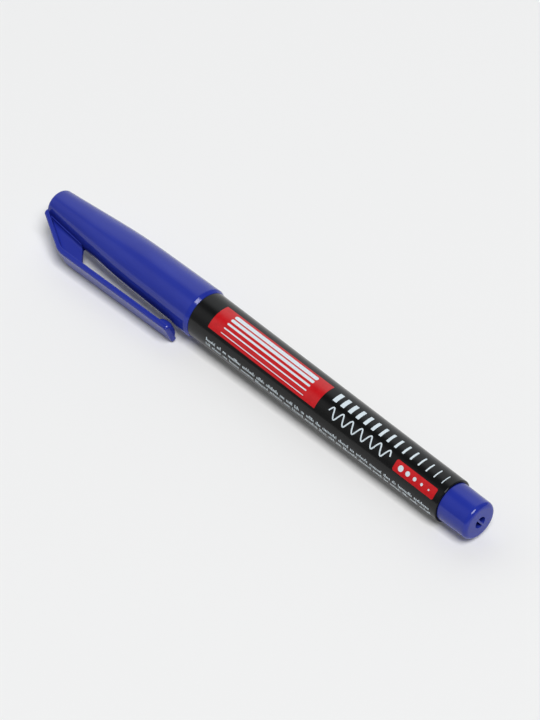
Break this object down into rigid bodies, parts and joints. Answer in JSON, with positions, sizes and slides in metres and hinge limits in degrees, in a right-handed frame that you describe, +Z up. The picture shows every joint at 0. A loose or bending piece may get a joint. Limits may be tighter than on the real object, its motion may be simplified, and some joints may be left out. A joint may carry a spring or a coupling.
{
  "type": "fineliner pen",
  "caption": "Capped fineliner pen on its side: tapered black barrel with a blue end plug, and a blue pull-off cap with a moulded pocket clip over a fibre nib.",
  "frame": {"origin": "under the middle of the pen's outline, on the flat surface that the clip's strap lies on", "axes": "+X along the pen from the cap's closed end to the end plug, +Y across it away from the clip, +Z up"},
  "size_m": [0.14, 0.0166, 0.0127],
  "materials": {
    "blue_plastic": "smooth moulded polypropylene, semi-gloss",
    "black_plastic": "smooth moulded polypropylene, semi-gloss",
    "liner_plastic": "natural soft polyethylene",
    "sleeve_metal": "drawn stainless tube",
    "nib_fibre": "bonded fibre rod stained with ink",
    "ink_fibre": "bundled polyester fibre soaked with ink",
    "film": "thin clear wrapping film"
  },
  "bodies": {
    "barrel": {"barrel": "black_plastic", "front_section": "black_plastic", "nib_sleeve": "sleeve_metal", "nib": "nib_fibre", "reservoir_core": "ink_fibre", "reservoir_film": "film", "end_plug": "blue_plastic"},
    "cap_liner": {"inner_cap": "liner_plastic"},
    "cap": {"cap_shell": "blue_plastic"}
  },
  "joints": [
    {"name": "cap_pull", "type": "slide", "parent": "barrel", "child": "cap_liner", "axis": [-1, 0, 0], "range_m": [0, 0.06]},
    {"name": "cap_turn", "type": "hinge", "parent": "cap_liner", "child": "cap", "pos_m": [-0.017, 0.00199, 0.00639], "axis": [1, 0, 0], "continuous": true}
  ]
}
